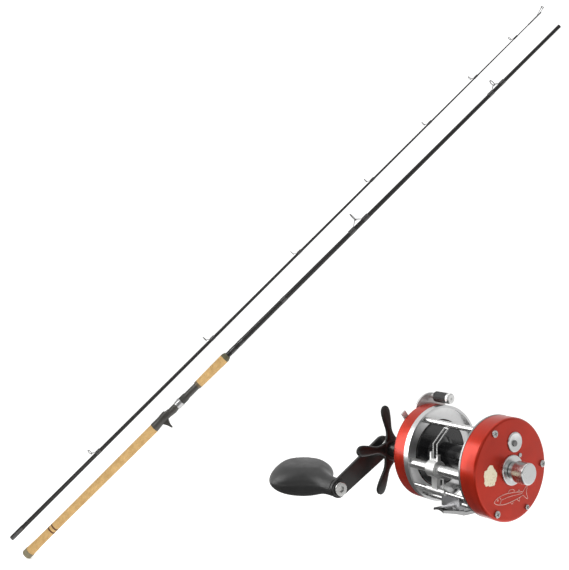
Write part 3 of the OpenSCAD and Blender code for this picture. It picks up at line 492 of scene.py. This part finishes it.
def turn(mesh, profile, segments=96, centre=(0, 0, 0)):
    """Turns (x, radius) points round the X axis through centre. A closed profile makes a ring."""
    cx, cy, cz = centre
    rings = []
    for x, r in profile:
        angles = [2 * math.pi * i / segments for i in range(segments)]
        rings.append([(cx + x, cy + r * math.cos(a), cz + r * math.sin(a)) for a in angles])
    closed = profile[0] == profile[-1]
    if closed:
        rings = rings[:-1]
    return join_rings(mesh, rings, closed_loop=closed)


def corner(x, r, radius, start, end, steps=5):
    """Arc of profile points round (x, r), from start to end degrees."""
    points = []
    for i in range(steps + 1):
        a = math.radians(start + (end - start) * i / steps)
        points.append((x + radius * math.cos(a), r + radius * math.sin(a)))
    return points


def spline(points, steps):
    """Catmull-Rom curve through points of any size, steps to a span."""
    out = []
    last = len(points) - 1
    for i in range(last):
        p = [points[max(0, i - 1)], points[i], points[i + 1], points[min(last, i + 2)]]
        for k in range(steps):
            t = k / steps
            out.append(tuple(
                0.5 * (2 * b + (c - a) * t + (2 * a - 5 * b + 4 * c - d) * t * t
                       + (3 * b - a - 3 * c + d) * t ** 3)
                for a, b, c, d in zip(*p)
            ))
    out.append(tuple(points[last]))
    return out


def oval(half_y, half_z, power=2.0, count=48):
    """Ring of (y, z) on a superellipse."""
    ring = []
    for i in range(count):
        c, s = math.cos(2 * math.pi * i / count), math.sin(2 * math.pi * i / count)
        ring.append((
            half_y * math.copysign(abs(c) ** (2 / power), c),
            half_z * math.copysign(abs(s) ** (2 / power), s),
        ))
    return ring


def wire(mesh, path, radius, sides=12, closed=False):
    """Round wire of one radius along a path."""
    points = [Vector(p) for p in path]
    count = len(points)
    rings = []
    normal = None
    for i, point in enumerate(points):
        if closed:
            tangent = points[(i + 1) % count] - points[i - 1]
        else:
            tangent = points[min(i + 1, count - 1)] - points[max(i - 1, 0)]
        tangent.normalize()
        if normal is None:
            guess = Vector((0, 0, 1)) if abs(tangent.z) < 0.9 else Vector((1, 0, 0))
            normal = tangent.cross(guess).normalized()
        normal = (normal - tangent * normal.dot(tangent)).normalized()
        side = tangent.cross(normal)
        ring = []
        for k in range(sides):
            a = 2 * math.pi * k / sides
            ring.append(point + (normal * math.cos(a) + side * math.sin(a)) * radius)
        rings.append(ring)
    return join_rings(mesh, rings, closed_loop=closed)


def prism(mesh, outline, low, high, lift):
    """Solid between two planes: lift turns an outline point and a height into a 3D point."""
    return join_rings(mesh, [[lift(p, low) for p in outline], [lift(p, high) for p in outline]])


# ---------------------------------------------------------------- rod


BAND_WIDER = 0.9
BAND_PROUD = 0.12
BAND_DEPTH = 1.5
BAND_ROUND = 0.2


def make_grip_bands():
    """Two dark cork bands, a little wider than the inlays they stand in for."""
    points = [BUTT.inverted() @ v.co for v in frame["nodes"]["grip_rings"].data.vertices]
    heights = sorted(p.z for p in points)
    middle = (heights[0] + heights[-1]) / 2
    mesh = bmesh.new()
    for group in ([p for p in points if p.z < middle], [p for p in points if p.z > middle]):
        bottom = min(p.z for p in group) - BAND_WIDER
        top = max(p.z for p in group) + BAND_WIDER
        radius = max(math.hypot(p.x, p.y) for p in group) + BAND_PROUD
        inside = radius - BAND_DEPTH
        profile = [(bottom, inside), (bottom, radius - BAND_ROUND), (bottom + 0.25, radius)]
        profile += [(top - 0.25, radius), (top, radius - BAND_ROUND), (top, inside)]
        profile += [(bottom, inside)]
        turn(mesh, profile, 64)
    matrix = BUTT @ Matrix.Rotation(math.radians(-90), 4, "Y")
    add_piece("grip_bands", mesh, matrix, "butt_section", "dark_cork", ["grip_rings"], sharp=50)


make_grip_bands()

# ---------------------------------------------------------------- reel: handle


KNOB_POWER = 1.78
KNOB_FLAT_FROM = 11.2
KNOB_FLATTENING = 0.7
KNOB_HALF_WIDTH = 29
KNOB_SAG = 1.4
KNOB_TIP = 2.0


def make_knob():
    """Paddle knob: a lens section, a flattened top and a slight tip to one side."""
    inner_x = max(reel_local(c).x for c in box_corners(*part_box("knob")))
    reach = inner_x - KNOB.x
    # Distance from the knob's middle along its spindle, half width, half height
    stations = [
        (-24.3, 1.5, 0.9), (-23.7, 7.0, 4.2), (-20.8, 14.8, 8.2), (-15.8, 21.8, 11.9),
        (-8.5, 27.0, 14.2), (0, 28.9, 14.9), (7.0, 27.4, 14.7), (13.0, 23.6, 13.9),
        (18.0, 18.8, 12.7), (23.0, 13.9, 11.1), (30.0, 9.6, 8.9), (38.0, 7.8, 7.6),
        (reach, 7.1, 7.1),
    ]
    rings = []
    for x, half_y, half_z in spline(stations, 4):
        ring = []
        for y, z in oval(half_y, half_z, KNOB_POWER, 64):
            flat = max(0, z - KNOB_FLAT_FROM) * KNOB_FLATTENING
            droop = KNOB_SAG * (y / KNOB_HALF_WIDTH) ** 2 - KNOB_TIP * y / KNOB_HALF_WIDTH
            ring.append((KNOB.x + x, KNOB.y + y, KNOB.z + z - flat - droop))
        rings.append(ring)
    mesh = join_rings(bmesh.new(), rings)
    add_piece("knob_body", mesh, REEL, "knob", "knob_plastic", ["knob"], sharp=60)


STAR_ARMS = 5
STAR_LEAN = 14
STAR_PLANE = 7.2


def make_star():
    """Five-armed star on its hub, with waisted arms that are round at the tip."""
    # Along the arm, half width, half thickness
    stations = [
        (3.0, 7.2, 1.6), (8.0, 5.9, 1.6), (11.0, 4.4, 1.6), (14.5, 3.2, 1.65), (18.0, 2.95, 1.7),
        (22.0, 3.5, 1.7), (27.0, 4.15, 1.75), (32.0, 4.35, 1.7), (34.8, 3.6, 1.55), (36.3, 2.2, 1.2),
        (36.9, 1.0, 0.7),
    ]
    middle = reel_span("star_drag")[0] + STAR_PLANE
    mesh = bmesh.new()
    for arm in range(STAR_ARMS):
        lean = math.radians(STAR_LEAN + 360 / STAR_ARMS * arm)
        along = Vector((0, -math.sin(lean), math.cos(lean)))
        across = Vector((0, math.cos(lean), math.sin(lean)))
        rings = []
        for reach, half_w, half_t in spline(stations, 3):
            base = Vector((middle, DRIVE.y, DRIVE.z)) + along * reach
            ring = oval(half_w, half_t, 2.7, 28)
            rings.append([base + across * w + Vector((t, 0, 0)) for w, t in ring])
        join_rings(mesh, rings)
    # Place along the spool axis and radius round the drive shaft
    hub = [(-71.0, 3.1), (-71.0, 5.1), (-70.6, 5.5), (-65.5, 5.5), (-65.5, 8.6), (-65.1, 9.0),
           (-62.5, 9.0), (-62.1, 8.6), (-62.1, 6.3), (-49.4, 6.3), (-49.0, 5.9), (-49.0, 3.1),
           (-71.0, 3.1)]
    turn(mesh, hub, 64, (0, DRIVE.y, DRIVE.z))
    add_piece("star_drag_body", mesh, REEL, "star_drag", "star_black", ["star_drag"], sharp=50)


CRANK_OUTER = -78.0
CRANK_INNER = -75.0
CRANK_ARC_STEPS = 24


def make_crank():
    """Flat crank plate with a wide round end at the shaft and a narrower one at the knob."""
    start = Vector((DRIVE.y, DRIVE.z))
    end = Vector((KNOB.y, KNOB.z))
    length = (end - start).length
    along = (end - start).normalized()
    across = Vector((-along.y, along.x))
    half_start, half_end = 9.0, 7.5
    tilt = math.asin((half_start - half_end) / length)
    outline = []
    for i in range(CRANK_ARC_STEPS + 1):
        a = math.pi / 2 - tilt + (math.pi + 2 * tilt) * i / CRANK_ARC_STEPS
        outline.append(start + along * half_start * math.cos(a) + across * half_start * math.sin(a))
    for i in range(CRANK_ARC_STEPS + 1):
        a = -math.pi / 2 + tilt + (math.pi - 2 * tilt) * i / CRANK_ARC_STEPS
        outline.append(end + along * half_end * math.cos(a) + across * half_end * math.sin(a))
    mesh = prism(bmesh.new(), outline, CRANK_OUTER, CRANK_INNER, lambda p, x: (x, p.x, p.y))
    piece = add_piece("crank_plate", mesh, REEL, "handle", "star_black", ["crank_arm"])
    round_edges(piece, 0.7, 3, 50)


def make_handle_fittings():
    """Nut, spindle and star insert with soft edges, and the seal behind the knob."""
    softened("handle_nut", 0.5, 3)
    softened("knob_spindle", 0.15)
    softened("star_insert", 0.2)
    # Dark ring between the knob's neck and the crank: place along the spindle, and radius
    seal = [(-80.7, 5.5), (-80.7, 6.9), (-80.3, 7.3), (-78.9, 7.3), (-78.5, 6.9), (-78.5, 5.5)]
    mesh = turn(bmesh.new(), seal + seal[:1], 48, (0, KNOB.y, KNOB.z))
    add_piece("knob_seal", mesh, REEL, "handle", "star_black")


make_knob()
make_star()
make_crank()
make_handle_fittings()

# ---------------------------------------------------------------- reel: covers


COVER_RADIUS = 37.0
COVER_WALL = 1.6
COVER_EDGE = 2.0
COVER_BREAK = 0.25
COVER_CHAMFER = 1.2


def make_palm_cover():
    """Hollow cup with a rounded edge and one round hole in the middle of its face."""
    low, high = reel_span("palm_cover")
    radius, wall, edge = COVER_RADIUS, COVER_WALL, COVER_EDGE
    hole = 6.3
    inside = radius - wall
    profile = [(low, inside), (low, radius - COVER_BREAK), (low + COVER_BREAK, radius)]
    profile += corner(high - edge, radius - edge, edge, 90, 0, 10)
    profile += [(high, hole), (high - wall, hole), (high - wall, inside - COVER_CHAMFER)]
    profile += [(high - wall - COVER_CHAMFER, inside), (low, inside)]
    mesh = turn(bmesh.new(), profile, 192)
    add_piece("palm_cover_shell", mesh, REEL, "reel_frame", "red_anodised", ["palm_cover"])


GEAR_SEAM = -30.7
GEAR_FACE = -43.0
GEAR_HOLE = 5.1


def make_gear_cover():
    """Hollow cup with a raised ring round the spool axis and a boss round the drive shaft."""
    seam, face = GEAR_SEAM, GEAR_FACE
    radius, wall, edge = COVER_RADIUS, COVER_WALL, COVER_EDGE
    inside = radius - wall
    profile = [(seam, inside), (seam, radius - COVER_BREAK), (seam - COVER_BREAK, radius)]
    profile += corner(face + edge, radius - edge, edge, 90, 180, 10)
    profile += [(face, 9.0), (face - 3.1, 9.0), (face - 3.6, 8.5), (face - 3.6, GEAR_HOLE)]
    profile += [(face + wall, GEAR_HOLE), (face + wall, inside - COVER_CHAMFER)]
    profile += [(face + wall + COVER_CHAMFER, inside), (seam, inside)]
    mesh = turn(bmesh.new(), profile, 192)
    boss = [(face + 0.5, GEAR_HOLE), (face + 0.5, 10.4), (face, 10.4), (face - 0.6, 10.0)]
    boss += [(face - 3.5, 10.0), (face - 4.0, 9.5), (face - 4.0, GEAR_HOLE), (face + 0.5, GEAR_HOLE)]
    turn(mesh, boss, 64, (0, DRIVE.y, DRIVE.z))
    add_piece("gear_cover_shell", mesh, REEL, "reel_frame", "red_anodised", ["gear_cover"])


PALM_FACE = reel_span("palm_cover")[1]
BADGE_FRONT = 22.0
BADGE_DROP = 2.2
BADGE_HALF = 6.3
BADGE_SINK = 0.02
BADGE_PROUD = 0.16


def make_badge():
    """Plain cream paper badge with a worn outline and a small peak at its top."""
    n = Nodes("badge_paper")
    stain = n.noise(900, 5, 0.7)
    crease = n.noise(420, 3, 0.6, distortion=1.2)
    tones = [(0.32, (0.50, 0.40, 0.24)), (0.42, (0.88, 0.78, 0.56)), (0.7, (0.95, 0.88, 0.70))]
    n.set(color=n.ramp(stain, tones), rough=0.75, specular=0.2)
    n.bump(crease, 0.5, 0.0002)
    centre = Vector((-BADGE_FRONT, -BADGE_DROP))
    outline = []
    for i in range(72):
        a = 2 * math.pi * i / 72
        wobble = 0.35 * math.sin(5 * a + 1) + 0.22 * math.sin(11 * a) + 0.15 * math.sin(23 * a + 2)
        half = BADGE_HALF + wobble
        y = half * math.copysign(abs(math.cos(a)) ** 0.75, math.cos(a))
        z = half * math.copysign(abs(math.sin(a)) ** 0.75, math.sin(a))
        z += 2.0 * math.exp(-((a - math.pi / 2) / 0.28) ** 2)
        outline.append(centre + Vector((y, z)))
    low, high = PALM_FACE - BADGE_SINK, PALM_FACE + BADGE_PROUD
    mesh = prism(bmesh.new(), outline, low, high, lambda p, x: (x, p.x, p.y))
    add_piece("paper_badge", mesh, REEL, "reel_frame", "cog_plastic", material=n.material)


FISH_HALF = 17.5
FISH_DEEP = 3.6
FISH_SLOPE = 4
FISH_PLACE = (-0.7, -19.2)
FISH_LIFT = 0.04
FISH_LINE = 0.2
FISH_OUTLINE = 0.24


def make_fish_mark():
    """A simple fish drawn in thin raised lines: a plain body, tail, fins and eye."""
    n = Nodes("engraved_line")
    patch = n.noise(800, 4, 0.7)
    tones = [(0.32, (0.60, 0.16, 0.12)), (0.5, (0.86, 0.56, 0.50))]
    n.set(color=n.ramp(patch, tones), rough=0.5, metal=0.3)
    half, deep = FISH_HALF, FISH_DEEP
    slope = math.radians(FISH_SLOPE)
    centre = Vector(FISH_PLACE)

    def on_face(u, v):
        """Point u along and v above the fish's middle line, just off the cover's face."""
        y = centre.x + u * math.cos(slope) - v * math.sin(slope)
        z = centre.y + u * math.sin(slope) + v * math.cos(slope)
        return (PALM_FACE + FISH_LIFT, y, z)

    mesh = bmesh.new()
    for side in (1, -1):
        line = []
        for i in range(29):
            t = i / 28
            body = deep * math.sin(math.pi * min(1, t ** 0.75)) ** 0.85 * (1 - 0.2 * t)
            line.append(on_face(-half + t * (2 * half - 5), side * (body + 1.2 * t * t)))
        wire(mesh, line, FISH_OUTLINE, 6)
    # Tail, back fin, small fin, two belly fins, gill and side line
    strokes = [
        [(half - 5, 1.2), (half - 1, 4.6), (half, 4.4), (half - 1.2, 0), (half, -4.4), (half - 1, -4.6),
         (half - 5, -1.2)],
        [(-3, 3.4), (-1, 5.4), (3, 4.9), (3.6, 3.0)],
        [(7.2, 2.4), (8.6, 3.6), (9.4, 2.2)],
        [(-1, -3.4), (0.8, -5.0), (2.6, -3.1)],
        [(6.0, -2.6), (8.4, -4.6), (9.0, -2.2)],
        [(-11.6, 2.6), (-10.4, 0), (-11.8, -2.4)],
        [(-9.5, 0.3), (-2, 0.8), (6, 0.5), (12, 0.2)],
    ]
    for stroke in strokes:
        wire(mesh, [on_face(u, v) for u, v in spline(stroke, 5)], FISH_LINE, 6)
    eye = []
    for k in range(10):
        a = k * math.pi / 5
        eye.append(on_face(-13.8 + 0.55 * math.cos(a), 0.8 + 0.55 * math.sin(a)))
    wire(mesh, eye, FISH_LINE, 6, closed=True)
    add_piece("fish_mark", mesh, REEL, "reel_frame", "screw_steel", material=n.material)


def make_click_dish():
    """Dished chrome plate that the click button stands in."""
    corners = [reel_local(c) for c in box_corners(*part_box("click_dish"))]
    centre = sum(corners, Vector()) / len(corners)
    face = PALM_FACE
    bowl = []
    for r in (5.9, 5, 4, 3, 2, 1):
        bowl.append((face + 1.08 - 0.96 * math.cos(math.pi * r / 13.0) ** 1.2, r))
    profile = [(face - 0.3, 0.02), (face - 0.3, 7.1), (face + 0.3, 7.3), (face + 0.8, 7.15)]
    profile += [(face + 1.1, 6.7), (face + 1.1, 6.2)] + bowl + [(face + 0.12, 0.02)]
    mesh = turn(bmesh.new(), profile, 64, (0, centre.y, centre.z))
    add_piece("click_dish_body", mesh, REEL, "reel_frame", "cap_chrome", ["click_dish"], sharp=50)


def make_tension_cap():
    """Round cap on a flared skirt, with a closed outer face."""
    low, high = reel_span("tension_cap")
    radius = 7.7
    edge = 0.9
    profile = [(low, 5.2), (low, 6.2), (low + 0.2, 6.4), (low + 3.4, 6.4), (low + 3.9, 7.2)]
    profile += [(low + 4.4, radius)] + corner(high - edge, radius - edge, edge, 90, 0, 6)
    profile += [(high, 1.6), (high - 0.05, 0.02), (high - 1.5, 0.02), (high - 1.5, 5.2), (low, 5.2)]
    mesh = turn(bmesh.new(), profile, 96)
    add_piece("tension_cap_body", mesh, REEL, "tension_cap", "cap_chrome", ["tension_cap"])


make_palm_cover()
make_gear_cover()
make_badge()
make_fish_mark()
make_tension_cap()
make_click_dish()
softened("centre_collar", 0.12)
button_piece = softened("click_button", 0.12)
# The click button's chrome is painted darker: painted shade for the hollow it sits in
button_piece.data.materials[0] = plated("shade_darkened_chrome", (0.22, 0.22, 0.22), 0.18, 0.8)
softened("roller_cap", 0.12)

# ---------------------------------------------------------------- reel: frame and line guide

# The line guide and clutch lever wear a duller finish than their slot's. The click button and palm-side
# ring wear a darker chrome than their slot's, which is painted shade rather than a finish of their own
guide_piece = softened("line_guide", 0.5, 3)
guide_piece.data.materials[0] = plated("satin_zinc", (0.80, 0.80, 0.79), 0.42, 0.5)
softened("foot", 0.3, 2)
softened("foot_blocks", 0.6, 3)
lever_piece = softened("clutch_lever", 0.35, 3)
lever_piece.data.materials[0] = plastic(
    "satin_lever", (0.66, 0.66, 0.65), 0.30, 0.1, 900, coat=0.4, metal=0.4
)
softened("gear_frame", 0.15, 2)
palm_ring = softened("palm_frame", 0.2, 2)
# The palm-side ring's chrome is painted darker: painted shade where the ring sits in shade
palm_ring.data.materials[0] = plated("shade_darkened_ring_chrome", (0.36, 0.36, 0.36), 0.34, 0.5, lathe=REEL)

# ---------------------------------------------------------------- stage

FLOOR_GAP = 0.001
FLOOR_Z = min(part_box("butt_cap")[0].z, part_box("tip_blank")[0].z) - FLOOR_GAP


def make_floor():
    """Round pale floor that glows a little, so that it looks white."""
    n = Nodes("floor")
    dust = n.noise(3, 4, 0.6)
    n.set(color=n.ramp(dust, [(0.3, (0.90, 0.90, 0.89)), (0.7, (0.94, 0.94, 0.93))]), rough=0.9)
    n.shader.inputs["Emission Color"].default_value = (1, 1, 1, 1)
    n.shader.inputs["Emission Strength"].default_value = 0.58
    mesh = bpy.data.meshes.new("floor")
    builder = bmesh.new()
    bmesh.ops.create_circle(builder, cap_ends=True, segments=96, radius=14)
    builder.to_mesh(mesh)
    builder.free()
    mesh.materials.append(n.material)
    floor = bpy.data.objects.new("floor", mesh)
    floor.location = (0.4, 0, FLOOR_Z)
    bpy.context.scene.collection.objects.link(floor)


def make_world():
    """White to the camera. To light and reflections, a pale wall behind and a dim room in front."""
    world = bpy.data.worlds.new("studio")
    world.use_nodes = True
    tree = world.node_tree
    bpy.context.scene.world = world

    def node(kind, *inputs):
        made = tree.nodes.new("ShaderNode" + kind)
        for socket, value in zip(made.inputs, inputs):
            if isinstance(value, bpy.types.NodeSocket):
                tree.links.new(value, socket)
            elif value is not None:
                socket.default_value = value
        return made

    direction = node("SeparateXYZ", node("TexCoord").outputs["Generated"])
    front = node("ValToRGB", direction.outputs[2])
    stops = [(0.0, 0.42), (0.05, 0.34), (0.16, 0.12), (0.36, 0.14), (0.55, 0.40), (1.0, 0.52)]
    while len(front.color_ramp.elements) < len(stops):
        front.color_ramp.elements.new(0.5)
    for element, (position, value) in zip(front.color_ramp.elements, stops):
        element.position = position
        element.color = (value, value, value, 1)
    behind = node("MapRange", direction.outputs[1], 0.05, 0.5, 0.0, 1.0)
    room = node("MixRGB", behind.outputs[0], front.outputs[0], (0.85, 0.85, 0.85, 1))
    seen = node("LightPath").outputs["Is Camera Ray"]
    both = node("MixRGB", seen, room.outputs[0], (1.2, 1.2, 1.2, 1))
    tree.links.new(both.outputs[0], tree.nodes["Background"].inputs[0])


def card(name, location, target, size, value):
    """Glowing studio card that shows only in reflections."""
    n = Nodes(name)
    n.set(color=(0, 0, 0), rough=1.0, specular=0.0)
    n.shader.inputs["Emission Color"].default_value = (value, value, value, 1)
    n.shader.inputs["Emission Strength"].default_value = 1.0
    mesh = bpy.data.meshes.new(name)
    x, y = size[0] / 2, size[1] / 2
    mesh.from_pydata([(-x, -y, 0), (x, -y, 0), (x, y, 0), (-x, y, 0)], [], [(0, 1, 2, 3)])
    mesh.materials.append(n.material)
    panel = bpy.data.objects.new(name, mesh)
    panel.location = location
    panel.rotation_euler = (Vector(target) - Vector(location)).to_track_quat("-Z", "Y").to_euler()
    bpy.context.scene.collection.objects.link(panel)
    for ray in ("camera", "diffuse", "shadow", "transmission", "volume_scatter"):
        setattr(panel, "visible_" + ray, False)


def area_light(name, location, target, size, power):
    """Soft rectangular lamp that the camera doesn't see."""
    data = bpy.data.lights.new(name, "AREA")
    data.shape = "RECTANGLE"
    data.size, data.size_y = size
    data.energy = power
    lamp = bpy.data.objects.new(name, data)
    lamp.location = location
    lamp.visible_camera = False
    lamp.rotation_euler = (Vector(target) - Vector(location)).to_track_quat("-Z", "Y").to_euler()
    bpy.context.scene.collection.objects.link(lamp)


make_floor()
make_world()
reel_centre = REEL.translation
area_light("left", (-0.75, -0.92, 0.75), reel_centre, (0.42, 1.2), 6.6)
area_light("rods", (-1.5, -1.5, 2.0), (0.15, 0.0, 0.3), (1.0, 1.4), 14)
area_light("right", (2.2, -1.75, 0.6), reel_centre, (1.2, 1.0), 1.2)
area_light("top", (0.5, -0.9, 3.0), (0.4, -0.5, 0.3), (2.6, 2.0), 16)
area_light("front", (0.1, -3.2, 1.7), (0.4, -0.5, 0.4), (1.6, 1.0), 4)
card("right_card", (1.6, -1.45, 0.30), (0.58, -1.21, 0.30), (1.3, 0.8), 0.80)
card("left_low_card", (-0.45, -0.95, 0.02), (-0.45, -0.95, 1.0), (2.1, 1.3), 0.10)
card("low_card", (0.30, -1.75, 0.02), (0.30, -1.75, 1.0), (0.9, 1.0), 0.12)
bpy.context.scene.view_settings.view_transform = "Standard"
